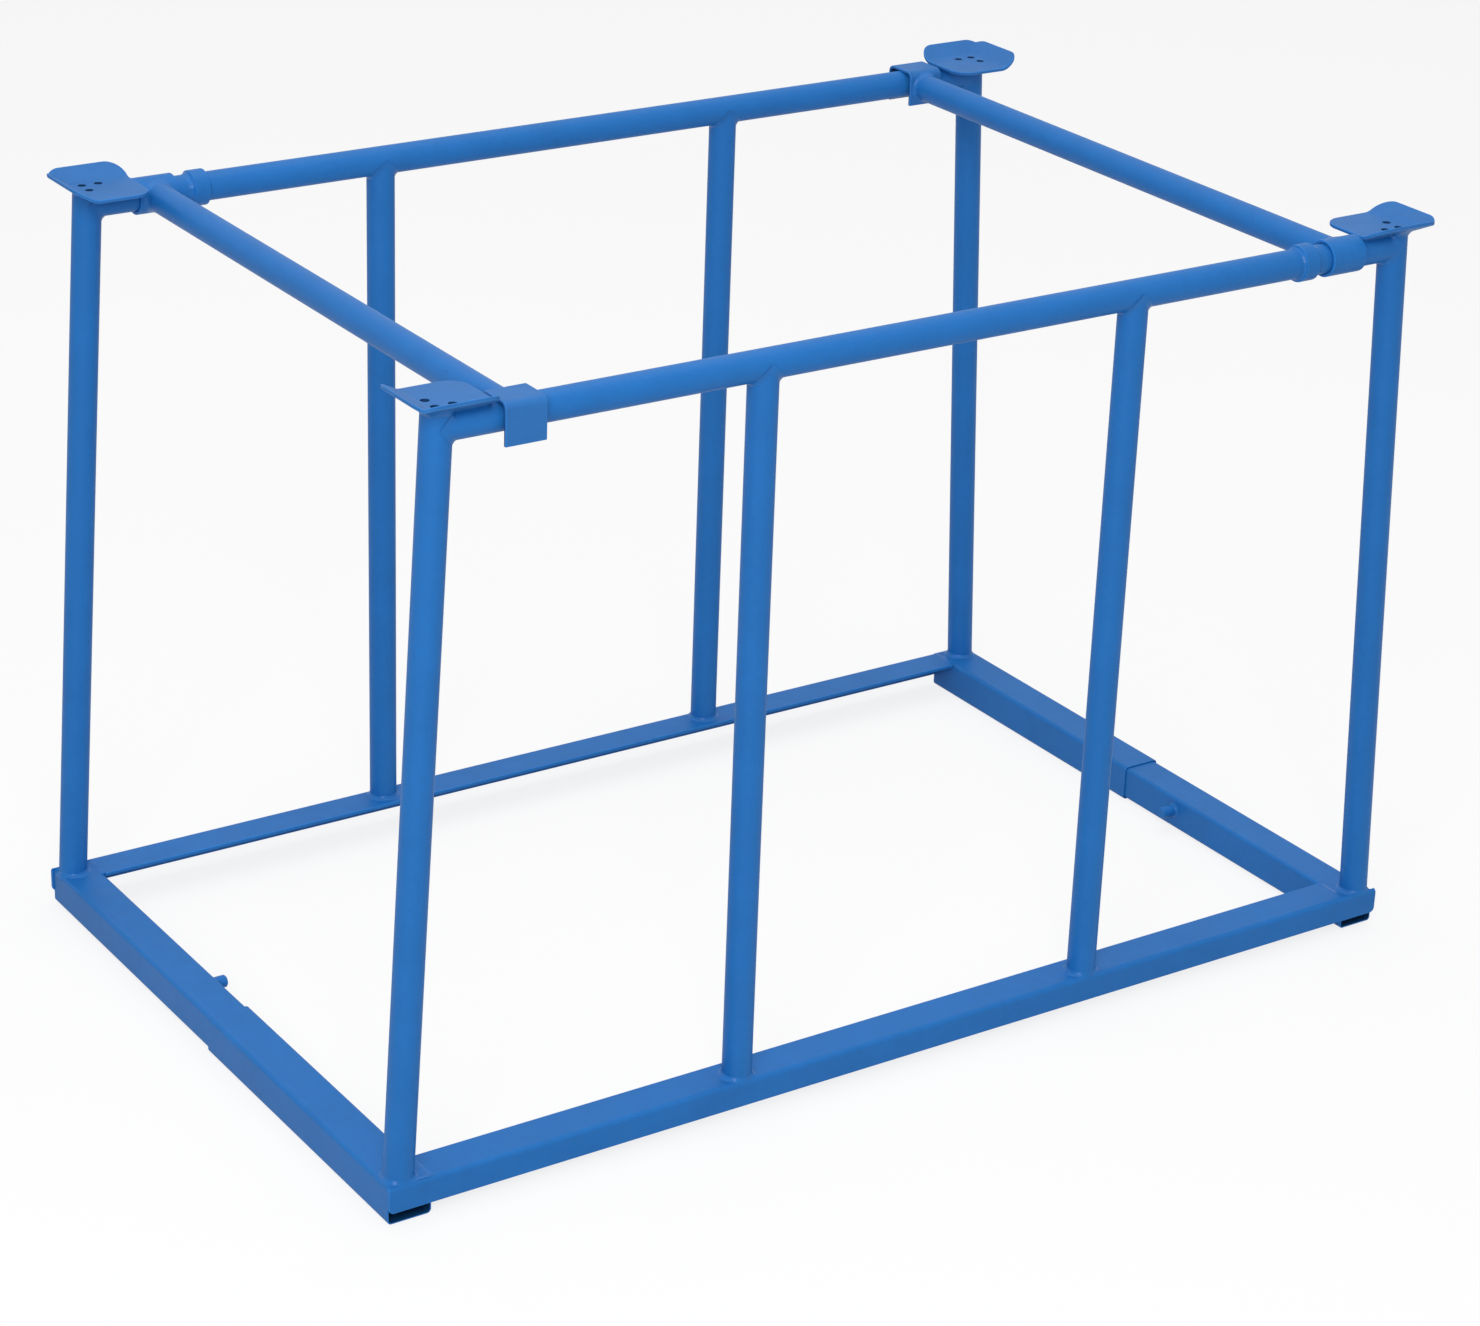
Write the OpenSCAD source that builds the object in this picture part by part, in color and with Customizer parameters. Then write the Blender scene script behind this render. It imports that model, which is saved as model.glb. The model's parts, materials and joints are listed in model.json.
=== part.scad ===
// Tubular steel stacking collar for a flat pallet: two welded side panels whose end rails
// plug into each other, tied at the top by two cross bars that swing up on sleeves and
// hook over the opposite tube. X runs along the pallet, Y across it, Z is up. The origin
// is the middle of the footprint at the underside of the end rails.

/* [Pallet] */
// Length of the pallet that the collar sits on
pallet_l = 1200; // [800:10:1600]
// Width of the pallet that the collar sits on
pallet_w = 800; // [600:10:1200]

/* [Side panels] */
// Height of the top tube's axis above the top of the long rail
panel_h = 790; // [400:10:1200]
// Outside diameter of every post, top tube and cross bar
tube_d = 32; // [25:0.5:42]
// Wall of every round tube
tube_wall = 2.5; // [1.5:0.1:4]
// Distance from the pallet's end out to a corner post's axis at its foot
foot_out = 35; // [24:1:38]
// How far each half's top tube sits off centre, towards its outer end rail
panel_shift = 3; // [0:0.5:4]
// How far a corner post leans in towards the middle over its height, apart from that shift
corner_lean = 44.5; // [20:0.5:60]
// Distance from the middle of the panel to each intermediate post
mid_post_x = 230; // [120:5:340]
// Distance from the pallet's side face in to the posts' axis
post_inset = 13; // [12:0.5:24]
// Fit-up gap left for the weld round a coped tube end
cope_gap = 0.3; // [0.2:0.1:1]

/* [Long rails] */
// Width of the flange that lies on the pallet's deck
rail_flange = 45; // [38:1:70]
// Depth of the leg that hangs outside the pallet
rail_leg = 30; // [20:1:50]
// Thickness of the long rail
rail_t = 4; // [3:0.5:6]
// Outside radius of the long rail's bent edge
rail_heel_r = 5.5; // [4.5:0.5:8]
// Radius at the lower corners of the leg's ends
rail_end_r = 6; // [2:1:10]
// Gap between the pallet's side and the leg
side_gap = 1; // [0:0.5:5]

/* [End rails] */
// Width of the outer end rail
end_w = 50; // [42:1:70]
// Height of the outer end rail, whose top is level with the long rail's
end_h = 44; // [36:1:60]
// Wall of both end rails
end_wall = 1.5; // [1.5:0.1:3]
// Outside corner radius of the outer end rail
end_r = 5; // [4:0.5:8]
// Gap between the pallet's end and the outer end rail
end_gap = 5; // [2:1:12]
// Clearance on each side of the inner rail within the outer one
plug_clear = 0.5; // [0.3:0.1:1.5]
// How much rounder the inner rail's corners are than the bore that they slide in needs
plug_ease = 1; // [0:0.5:3]
// How far the inner rail reaches into the outer one
plug_depth = 180; // [80:10:260]
// Diameter of the locating peg on the end rail
peg_d = 14; // [8:1:18]
// Chamfer at the tip of the peg
peg_tip = 1.5; // [0.5:0.5:3]
// How far the peg stands in from the pallet's end
peg_reach = 13; // [6:1:30]
// Distance of the peg from the middle of the end
peg_y = 93; // [60:1:180]
// Depth of the peg's axis below the pallet's deck
peg_drop = 15; // [12:1:20]

/* [Cross bars] */
// Wall of the pivot sleeves and stop rings
sleeve_wall = 3.9; // [2.5:0.1:8]
// Length of a pivot sleeve
sleeve_l = 46; // [36:1:60]
// Gap between a pivot sleeve and the edge of the corner plate beside it
sleeve_gap = 0.5; // [0.3:0.1:20]
// Radial clearance of a pivot sleeve on the top tube
pivot_clear = 0.1; // [0.05:0.01:0.1]
// Chamfer at both mouths of a pivot sleeve's bore
mouth = 1.2; // [0.5:0.1:2]
// Length of a stop ring
ring_l = 18; // [10:1:40]
// Radial gap under a stop ring, closed by its weld
ring_clear = 0.1; // [0.05:0.05:0.3]
// Play between a sleeve and its stop ring
ring_play = 19.5; // [4:0.5:30]
// Width of a hook
hook_w = 45; // [36:1:50]
// Thickness of a hook
hook_t = 3; // [2:0.5:6]
// Inside radius of the hook's two bends
hook_r = 5; // [2:0.5:7]
// Clearance between the hook's legs and the tube it drops over
hook_clear = 4; // [1.5:0.1:5]
// Depth of the hook's outer leg below the tube's axis
hook_drop_out = 24.5; // [20:0.5:45]
// Depth of the hook's inner leg below the tube's axis
hook_drop_in = 22; // [20:1:40]
// Gap under the hook where it rests on the tube
rest_gap = 0.3; // [0.2:0.1:0.5]
// How far a cross bar's tube has dropped where it meets the hook
bar_dip = 1.8; // [0:0.1:4]

/* [Corner plates] */
// Reach of a corner plate from the post's top towards the middle
plate_in = 54; // [40:1:56]
// Reach of a corner plate from the post's top outwards
plate_out = 37; // [28:1:50]
// Shift of a corner plate from the post's axis across the pallet, towards the load
plate_shift = 3; // [0:0.5:6]
// How far the plate over an outer end rail sits in from its post's axis along the pallet
plate_back = 2.5; // [0:0.5:4]
// Thickness of a corner plate
plate_t = 4; // [3:0.5:8]
// Distance from the post's axis out to the start of the upward bend
plate_bend_at = 9; // [4:1:16]
// Angle of the plate's upturned rims
plate_angle = 29; // [15:1:40]
// Radius of the bend on its upper side
plate_bend_r = 15; // [8:1:20]
// Corner radius of the plate on the side of the load
plate_r_in = 22; // [10:1:28]
// Corner radius of the plate where a rim runs out
plate_r_side = 20; // [8:1:24]
// Corner radius of the plate where both rims meet
plate_r_out = 20; // [4:1:24]
// Diameter of the three vent holes
vent_d = 9; // [5:0.5:12]
// Spacing of the vent holes
vent_pitch = 19; // [14:1:24]
// Shift of the vent holes from the post's axis towards the load
vent_shift = 5; // [0:1:12]

/* [Hidden] */
$fn = 64;
blue = [0.2, 0.43, 0.72];
shade_blue = [0.16, 0.36, 0.64];
over = 1;

// Heights
rail_top = end_h;
deck_z = rail_top - rail_t;
axis_z = rail_top + panel_h;
tube_r = tube_d / 2;
plate_z = axis_z + tube_r + cope_gap;

// Places along the pallet
end_x = pallet_l / 2 + end_gap;
rail_x = end_x + end_w;
foot_x = pallet_l / 2 + foot_out;
left_lean = corner_lean - panel_shift;
right_lean = corner_lean + panel_shift;
left_top_x = foot_x - left_lean;
right_top_x = foot_x - right_lean;
bar_x = right_top_x - plate_in - sleeve_gap - sleeve_l / 2;

// Places across the pallet
post_y = pallet_w / 2 - post_inset;
leg_y = pallet_w / 2 + side_gap;
rail_y = leg_y + rail_t;
heel_in = rail_heel_r - rail_t;

// How far the inner end rail's faces lie inside those of the outer one, and its corner radius
plug_step = end_wall + plug_clear;
plug_r = max(end_r - plug_step + plug_ease, end_wall);

// The pivot sleeve round the tube
sleeve_d = tube_d + 2 * (pivot_clear + sleeve_wall);

// The hook round the tube
hook_in = tube_r + hook_clear;
hook_out = hook_in + hook_t;

// A rectangle with one corner at the origin and all four corners rounded
module round_square(w, h, r) {
    translate([r, 0]) square([w - 2 * r, h]);
    translate([0, r]) square([w, h - 2 * r]);
    for (x = [r, w - r], y = [r, h - r])
        translate([x, y]) circle(r);
}

// A tube along Z from 0 to h
module pipe(d, wall, h) {
    difference() {
        cylinder(d = d, h = h);
        translate([0, 0, -over]) cylinder(d = d - 2 * wall, h = h + 2 * over);
    }
}

// Lays what stands along Z down along X, with its base at x = 0
module along_x() {
    rotate([90, 0, 90]) children();
}

// Lays what stands along Z down along Y, with its base at y = 0
module along_y() {
    rotate([-90, 0, 0]) children();
}

// Section of the long rail, with its heel at the upper left and its leg hanging down
module rail_section() {
    translate([0, -rail_leg]) square([rail_t, rail_leg - rail_heel_r]);
    translate([rail_heel_r, -rail_t]) square([rail_flange - rail_heel_r, rail_t]);
    intersection() {
        translate([0, -rail_heel_r]) square(rail_heel_r);
        translate([rail_heel_r, -rail_heel_r]) difference() {
            circle(rail_heel_r);
            circle(heel_in);
        }
    }
}

// Outline of the long rail seen from the front, with the leg's end corners rounded
module rail_outline() {
    w = 2 * rail_x;
    translate([-rail_x, -rail_leg + rail_end_r]) square([w, rail_leg - rail_end_r + over]);
    translate([-rail_x + rail_end_r, -rail_leg - over])
        square([w - 2 * rail_end_r, rail_end_r + 2 * over]);
    for (x = [-rail_x + rail_end_r, rail_x - rail_end_r])
        translate([x, -rail_leg + rail_end_r]) circle(rail_end_r);
}

// The bent angle that lies on the deck along one side, drawn for the front. Its leg covers
// the ends of the end rails, and its flange is cut back to go between them
module long_rail() {
    end_left = end_x - cope_gap;
    end_right = end_left + plug_step;
    difference() {
        intersection() {
            translate([-rail_x, -rail_y, rail_top]) along_x()
                linear_extrude(2 * rail_x) rail_section();
            translate([0, -rail_y + rail_flange + over, rail_top]) rotate([90, 0, 0])
                linear_extrude(rail_flange + 2 * over) rail_outline();
        }
        translate([-rail_x - over, -leg_y, deck_z - heel_in - over])
            cube([rail_x + over - end_left, rail_flange + over, rail_heel_r + 2 * over]);
        translate([end_right, -leg_y, deck_z - heel_in - over])
            cube([rail_x + over - end_right, rail_flange + over, rail_heel_r + 2 * over]);
    }
}

// A rectangular tube along Y from y = 0, centred on x = 0 with its middle at z = 0
module end_tube(w, h, r, l) {
    bore_r = max(r - end_wall, end_wall / 3);
    rotate([90, 0, 180]) translate([-w / 2, -h / 2, 0]) difference() {
        linear_extrude(l) round_square(w, h, r);
        translate([end_wall, end_wall, -over]) linear_extrude(l + 2 * over)
            round_square(w - 2 * end_wall, h - 2 * end_wall, bore_r);
    }
}

// The larger end rail, open at the middle of the end, drawn at the front half's left end
module outer_end_rail() {
    translate([-end_x - end_w / 2, -leg_y, end_h / 2]) end_tube(end_w, end_h, end_r, leg_y);
}

// The smaller end rail that plugs into the other half, drawn at the front half's right end
module inner_end_rail() {
    w = end_w - 2 * plug_step;
    h = end_h - 2 * plug_step;
    translate([end_x + end_w / 2, -leg_y, end_h / 2])
        end_tube(w, h, plug_r, leg_y + plug_depth);
}

// A corner post that leans in, from the end rail's top, at the height given, to the plate,
// drawn at the right front. Where that rail is the lower one, the post's foot is notched over
// the long rail's leg
module corner_post(foot_z, lean) {
    reach = 2 * tube_d;
    difference() {
        intersection() {
            translate([foot_x, -post_y, rail_top]) rotate([0, -atan(lean / panel_h), 0])
                translate([0, 0, -reach]) pipe(tube_d, tube_wall, panel_h + 2 * reach);
            translate([foot_x - lean - tube_d, -post_y - tube_d, foot_z])
                cube([lean + 2 * tube_d, 2 * tube_d, plate_z - foot_z]);
        }
        if (foot_z < rail_top)
            translate([foot_x - tube_d, -post_y - tube_d, foot_z - over])
                cube([2 * tube_d, tube_d + post_y - leg_y + cope_gap, rail_top - foot_z + over]);
    }
}

// An intermediate post, its upper end coped to the top tube, drawn at the front
module mid_post(x) {
    difference() {
        translate([x, -post_y, rail_top]) pipe(tube_d, tube_wall, panel_h);
        translate([x - tube_d, -post_y, axis_z]) along_x()
            cylinder(r = tube_r + cope_gap, h = 2 * tube_d);
    }
}

// The top tube between the corner posts, both ends coped, drawn at the front
module top_tube() {
    reach = 2 * tube_d;
    difference() {
        translate([-left_top_x, -post_y, axis_z]) along_x()
            pipe(tube_d, tube_wall, left_top_x + right_top_x);
        translate([-left_top_x, -post_y, axis_z]) rotate([0, atan(left_lean / panel_h), 0])
            translate([0, 0, -reach]) cylinder(r = tube_r + cope_gap, h = 2 * reach);
        translate([right_top_x, -post_y, axis_z]) rotate([0, -atan(right_lean / panel_h), 0])
            translate([0, 0, -reach]) cylinder(r = tube_r + cope_gap, h = 2 * reach);
    }
}

// Outline of a corner plate, outwards to +X and +Y from the post's axis
module plate_outline() {
    w = plate_in + plate_out;
    near = w - plate_r_side;
    far = w - plate_r_out;
    translate([-plate_in, -plate_in]) {
        polygon([[plate_r_in, 0], [near, 0], [w, plate_r_side], [w, far],
                 [far, w], [plate_r_side, w], [0, near], [0, plate_r_in]]);
        translate([plate_r_in, plate_r_in]) circle(plate_r_in);
        translate([near, plate_r_side]) circle(plate_r_side);
        translate([plate_r_side, near]) circle(plate_r_side);
        translate([far, far]) circle(plate_r_out);
    }
}

// Runs a section of the rim along the plate's edge and trims it to the outline, up to the
// crease on the diagonal
module along_rim() {
    far = plate_out + over;
    intersection() {
        translate([plate_bend_at, far, plate_bend_r + plate_t]) rotate([90, 0, 0])
            linear_extrude(plate_in + far + over) children();
        translate([0, 0, -over]) linear_extrude(plate_out + plate_t) intersection() {
            plate_outline();
            polygon([[-plate_in - over, -plate_in - over], [far, -plate_in - over], [far, far]]);
        }
    }
}

// The upturned rim towards +X: a round bend, then a straight slope that starts inside the
// bend, a hair thinner than it, so that the two fuse. Each section is drawn round the
// bend's centre
module plate_rim() {
    hair = 0.05;
    outer_r = plate_bend_r + plate_t;
    along_rim() intersection() {
        difference() {
            circle(outer_r);
            circle(plate_bend_r);
        }
        polygon([[0, 0], [0, -2 * outer_r], 2 * outer_r * [tan(plate_angle), -1]]);
    }
    along_rim() rotate(plate_angle) translate([-over, hair - outer_r])
        square([plate_out, plate_t - 2 * hair]);
}

// A dished corner plate with its two rims towards +X and +Y and its flat underside at z = 0
module corner_plate() {
    difference() {
        union() {
            linear_extrude(plate_t) intersection() {
                plate_outline();
                translate([-plate_in - over, -plate_in - over])
                    square(plate_in + over + plate_bend_at);
            }
            plate_rim();
            mirror([1, -1, 0]) plate_rim();
        }
        translate([-vent_shift, -vent_shift, -over]) {
            for (at = [[1, 1], [-1, 1], [1, -1]])
                translate([at[0] * vent_pitch / 2, at[1] * vent_pitch / 2, 0])
                    cylinder(d = vent_d, h = plate_t + 2 * over);
        }
    }
}

// Ring welded to the top tube beside the sleeve, drawn on the front tube's right part
module stop_ring() {
    translate([bar_x - sleeve_l / 2 - ring_play - ring_l, -post_y, axis_z]) along_x()
        difference() {
            cylinder(d = sleeve_d, h = ring_l);
            translate([0, 0, -over]) cylinder(r = tube_r + ring_clear, h = ring_l + 2 * over);
        }
}

// Short round peg that stands in between two deck boards
module deck_peg() {
    round_l = plug_step + end_gap + peg_reach - peg_tip;
    translate([end_x + plug_step, -peg_y, deck_z - peg_drop]) rotate([0, -90, 0]) {
        cylinder(d = peg_d, h = round_l);
        translate([0, 0, round_l]) cylinder(d1 = peg_d, d2 = peg_d - 2 * peg_tip, h = peg_tip);
    }
}

// The sleeve that turns on the front tube, drawn for the right-hand bar
module pivot_sleeve() {
    bore_r = tube_r + pivot_clear;
    translate([bar_x - sleeve_l / 2, -post_y, axis_z]) along_x() difference() {
        cylinder(d = sleeve_d, h = sleeve_l);
        translate([0, 0, -over]) cylinder(r = bore_r, h = sleeve_l + 2 * over);
        translate([0, 0, -mouth]) cylinder(r1 = bore_r + 2 * mouth, r2 = bore_r, h = 2 * mouth);
        translate([0, 0, sleeve_l - mouth])
            cylinder(r1 = bore_r, r2 = bore_r + 2 * mouth, h = 2 * mouth);
    }
}

// The bar's tube, coped to the sleeve at the front and butted to the hook at the rear
module cross_tube() {
    dip = atan(bar_dip / (2 * post_y));
    bar_l = 2 * post_y - hook_out - tube_r * tan(dip);
    difference() {
        translate([bar_x, -post_y, axis_z]) rotate([-dip, 0, 0]) along_y()
            pipe(tube_d, tube_wall, bar_l);
        translate([bar_x - tube_d, -post_y, axis_z]) along_x()
            cylinder(r = sleeve_d / 2 + cope_gap, h = 2 * tube_d);
    }
}

// Section of the hook across the tube that it drops over, with the tube's axis at the origin
module hook_section() {
    top = tube_r + rest_gap;
    bend = hook_r + hook_t;
    translate([-hook_out + bend, top]) square([2 * (hook_out - bend), hook_t]);
    translate([-hook_out, -hook_drop_in]) square([hook_t, hook_drop_in + top - hook_r]);
    translate([hook_in, -hook_drop_out]) square([hook_t, hook_drop_out + top - hook_r]);
    for (side = [-1, 1]) intersection() {
        translate([side * (hook_out - bend / 2), top - hook_r + bend / 2])
            square(bend, center = true);
        translate([side * (hook_in - hook_r), top - hook_r]) difference() {
            circle(bend);
            circle(hook_r);
        }
    }
}

// The bent hook on the end of the right-hand bar, round the rear tube
module hook() {
    translate([bar_x - hook_w / 2, post_y, axis_z]) along_x()
        linear_extrude(hook_w) hook_section();
}

// The rear half and the left-hand bar are the same pieces turned half round
module half_turn() {
    rotate([0, 0, 180]) children();
}

// The corner post over the outer end rail, drawn at the front half's left end
module outer_corner_post() {
    mirror([1, 0, 0]) corner_post(rail_top, left_lean);
}

// The corner post over the inner end rail, drawn at the front half's right end
module inner_corner_post() {
    corner_post(rail_top - plug_step, right_lean);
}

// The corner plates on the front half's left and right posts
module left_plate() {
    translate([-left_top_x + plate_back, -post_y + plate_shift, plate_z])
        rotate(180) corner_plate();
}

module right_plate() {
    translate([right_top_x, -post_y + plate_shift, plate_z]) rotate(-90) corner_plate();
}

module front_long_rail() { color(blue) long_rail(); }
module front_outer_end_rail() { color(blue) outer_end_rail(); }
module front_inner_end_rail() { color(shade_blue) inner_end_rail(); }
module front_left_corner_post() { color(blue) outer_corner_post(); }
module front_left_mid_post() { color(blue) mid_post(-mid_post_x); }
module front_right_mid_post() { color(blue) mid_post(mid_post_x); }
module front_right_corner_post() { color(blue) inner_corner_post(); }
module front_top_tube() { color(blue) top_tube(); }
module front_left_corner_plate() { color(shade_blue) left_plate(); }
module front_right_corner_plate() { color(shade_blue) right_plate(); }
module front_stop_ring() { color(shade_blue) stop_ring(); }
module front_deck_peg() { color(shade_blue) deck_peg(); }
module rear_long_rail() { color(blue) half_turn() long_rail(); }
module rear_outer_end_rail() { color(blue) half_turn() outer_end_rail(); }
module rear_inner_end_rail() { color(shade_blue) half_turn() inner_end_rail(); }
module rear_left_corner_post() { color(blue) half_turn() inner_corner_post(); }
module rear_left_mid_post() { color(blue) half_turn() mid_post(mid_post_x); }
module rear_right_mid_post() { color(blue) half_turn() mid_post(-mid_post_x); }
module rear_right_corner_post() { color(blue) half_turn() outer_corner_post(); }
module rear_top_tube() { color(blue) half_turn() top_tube(); }
module rear_left_corner_plate() { color(shade_blue) half_turn() right_plate(); }
module rear_right_corner_plate() { color(shade_blue) half_turn() left_plate(); }
module rear_stop_ring() { color(shade_blue) half_turn() stop_ring(); }
module rear_deck_peg() { color(shade_blue) half_turn() deck_peg(); }
module left_cross_tube() { color(blue) half_turn() cross_tube(); }
module left_pivot_sleeve() { color(shade_blue) half_turn() pivot_sleeve(); }
module left_hook() { color(shade_blue) half_turn() hook(); }
module right_cross_tube() { color(blue) cross_tube(); }
module right_pivot_sleeve() { color(shade_blue) pivot_sleeve(); }
module right_hook() { color(shade_blue) hook(); }

front_long_rail();
front_outer_end_rail();
front_inner_end_rail();
front_left_corner_post();
front_left_mid_post();
front_right_mid_post();
front_right_corner_post();
front_top_tube();
front_left_corner_plate();
front_right_corner_plate();
front_stop_ring();
front_deck_peg();
rear_long_rail();
rear_outer_end_rail();
rear_inner_end_rail();
rear_left_corner_post();
rear_left_mid_post();
rear_right_mid_post();
rear_right_corner_post();
rear_top_tube();
rear_left_corner_plate();
rear_right_corner_plate();
rear_stop_ring();
rear_deck_peg();
left_cross_tube();
left_pivot_sleeve();
left_hook();
right_cross_tube();
right_pivot_sleeve();
right_hook();
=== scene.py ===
"""Looks of a steel stacking collar: painted tubes, rails, pressed plates and their welds.

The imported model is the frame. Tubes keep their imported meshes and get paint. Rails, plates,
hooks, sleeves, rings and pegs are redrawn with softened edges, and every seam gets its weld.
"""
import json
import math
import bmesh
import bpy
from bpy.props import FloatProperty, FloatVectorProperty, PointerProperty
from mathutils import Matrix, Vector, noise
from mathutils.bvhtree import BVHTree

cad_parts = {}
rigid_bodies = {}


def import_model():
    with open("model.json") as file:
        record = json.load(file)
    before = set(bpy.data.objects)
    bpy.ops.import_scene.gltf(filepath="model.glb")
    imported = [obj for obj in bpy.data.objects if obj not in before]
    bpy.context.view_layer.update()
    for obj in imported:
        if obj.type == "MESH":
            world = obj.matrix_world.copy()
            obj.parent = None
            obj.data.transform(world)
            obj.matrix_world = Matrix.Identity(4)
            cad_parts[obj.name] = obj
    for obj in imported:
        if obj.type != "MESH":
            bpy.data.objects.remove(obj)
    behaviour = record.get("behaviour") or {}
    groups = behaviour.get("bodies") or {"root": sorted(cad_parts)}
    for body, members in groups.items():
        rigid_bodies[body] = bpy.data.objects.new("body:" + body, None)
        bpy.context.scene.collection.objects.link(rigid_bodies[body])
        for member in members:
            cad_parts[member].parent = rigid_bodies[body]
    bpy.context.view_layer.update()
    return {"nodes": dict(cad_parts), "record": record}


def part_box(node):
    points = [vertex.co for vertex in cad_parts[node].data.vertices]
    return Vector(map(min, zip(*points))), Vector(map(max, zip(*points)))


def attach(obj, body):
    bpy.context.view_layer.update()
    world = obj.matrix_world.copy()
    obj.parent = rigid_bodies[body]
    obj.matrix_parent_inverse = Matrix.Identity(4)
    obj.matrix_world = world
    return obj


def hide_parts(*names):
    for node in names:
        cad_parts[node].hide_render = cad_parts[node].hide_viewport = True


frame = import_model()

bl_info = {
    "name": "Stacking collar finish",
    "version": (1, 0, 0),
    "blender": (4, 5, 0),
    "location": "3D View > Sidebar > Collar",
    "description": "Paints the collar, softens its edges and lays its welds",
    "category": "Object",
}

NODES = frame["nodes"]
SLOT_OF = {row["node"]: row["material_slot"] for row in frame["record"]["subparts"]}
MM = 0.001
FULL_TURN = 2 * math.pi
RIGHT_ANGLE = math.pi / 2
HALF_TURN = Matrix.Rotation(math.pi, 4, "Z")
X_AXIS = Vector((1, 0, 0))
Y_AXIS = Vector((0, 1, 0))
Z_AXIS = Vector((0, 0, 1))

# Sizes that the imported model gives
TOP_LOW, TOP_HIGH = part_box("front_top_tube")
TUBE_R = (TOP_HIGH.z - TOP_LOW.z) / 2
AXIS_Z = (TOP_HIGH.z + TOP_LOW.z) / 2
POST_Y = (TOP_HIGH.y + TOP_LOW.y) / 2
RAIL_LOW, RAIL_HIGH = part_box("front_long_rail")
OUTER_LOW, OUTER_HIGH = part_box("front_outer_end_rail")
INNER_LOW, INNER_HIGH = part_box("front_inner_end_rail")
PLATE_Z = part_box("front_left_corner_plate")[0].z
SLEEVE_LOW, SLEEVE_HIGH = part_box("right_pivot_sleeve")
SLEEVE_R = (SLEEVE_HIGH.z - SLEEVE_LOW.z) / 2
BAR_X = (SLEEVE_LOW.x + SLEEVE_HIGH.x) / 2
HOOK_LOW, HOOK_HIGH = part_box("right_hook")
RING_LOW, RING_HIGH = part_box("front_stop_ring")
PEG_LOW, PEG_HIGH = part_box("front_deck_peg")

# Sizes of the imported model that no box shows
HEEL_R = 5.5 * MM  # outer bend radius of the long rails
OUTER_R = 5 * MM  # and of the outer end rails
INNER_R = 4 * MM  # and of the inner end rails
PLATE_OUT = 37 * MM  # from a plate's outer edges in to its origin, close to the post's axis
RIM_START = 9 * MM  # from that origin out to the start of a rim's bend
RIM_R = 19 * MM  # radius of the bend's underside
RIM_ANGLE = math.radians(29)
HOOK_BEND = 8 * MM  # outer bend radius of a hook
BAR_DIP = 1.8 * MM  # how far a bar has dropped where it meets its hook

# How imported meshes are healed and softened
TINY = MM / 1000  # what is shorter counts as nothing
HEAL_STEPS = (TINY, 0.1 * MM)  # corners nearer than this join, in two rounds
FLAT_WITHIN = math.radians(0.5)  # faces that meet flatter than this become one
BEND_FROM = math.radians(14)  # edges between these two angles are slight bends
SHARP_FROM = math.radians(50)  # and edges over this one are sharp
CREASE_SEGMENTS = 4
EDGE_SEGMENTS = 3
MOUTH_SHARE = 0.35  # rounding of holes and open ends, as a share of the outer edges'
FLAT_WEIGHT = 80  # how strongly large faces hold the shading flat
HOLLOW = 90 * MM  # widest hollow that counts as one
SKIN = 0.5 * MM  # how far in front of a face the look across a hollow starts

# How welds are shaped
WELD_ROOT = 1.4 * MM  # depth of the buried root
WELD_DIP = 0.12 * MM  # how far the rims dip into the two surfaces
BEAT_SHARE = 0.6  # share of the ripple that comes from bead to bead
NOISE_SHARE = 1.5  # share of the ripple that comes from slow noise
NOISE_SIZE = 5 * MM  # length of the slow noise's waves
END_TAPER = 0.25  # share of its size that a weld gains a section at its open ends
LEVEL_GAIN = 0.2  # how much wider a weld gets where its two surfaces run level
LEVEL_LOSS = 0.85  # and how much flatter
LEVEL_POWER = 3  # how late both set in
EDGE_KEPT = 0.8 * MM  # how far a weld stays off the edge of its piece
ROUND_FEWEST = 8  # sections that a weld has at least along an arc
STRAIGHT_FEWEST = 6  # and along a line

# Paint
CLOUD_MEAN = 0.5  # what a noise texture swings about
PEEL_DEPTH = 0.4 * MM
SHINE = 0.25  # specular level of the coat

# Stage
LAMPS_AIM = Vector((0, 0, 0.4))
FRONT_LAMP_AT, FRONT_LAMP_SIZE = Vector((-2.4, -3.0, 2.9)), 2.2
UPPER_LAMP_AT, UPPER_LAMP_SIZE = Vector((0.2, 0.6, 4.4)), 3.4
CAMERA_AT = Vector((-2.2139, -3.2690, 2.0654))
SENSOR = 36  # width in millimetres
FLOOR_REACH = 14  # half the floor's width in metres
WHITE = (1, 1, 1, 1)


class CollarWelds(bpy.types.PropertyGroup):
    """Sizes of the welds"""

    leg: FloatProperty(
        name="Weld leg", description="How far a weld reaches up each of its two surfaces",
        default=4.2 * MM, min=1 * MM, max=8 * MM, unit="LENGTH")
    crown: FloatProperty(
        name="Weld crown", description="How full the face of a weld is",
        default=1.3 * MM, min=0, max=4 * MM, unit="LENGTH")
    flush: FloatProperty(
        name="Flush weld", description="Reach of a weld between two level surfaces",
        default=2.4 * MM, min=1 * MM, max=6 * MM, unit="LENGTH")
    ripple: FloatProperty(
        name="Ripple", description="How strongly a weld's beads swell and shrink",
        default=0.13, min=0, max=0.5)
    pitch: FloatProperty(
        name="Ripple pitch", description="Distance from one bead to the next",
        default=3.4 * MM, min=1 * MM, max=10 * MM, unit="LENGTH")
    step: FloatProperty(
        name="Weld step", description="Distance between two sections of a weld",
        default=1.15 * MM, min=0.5 * MM, max=5 * MM, unit="LENGTH")


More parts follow.
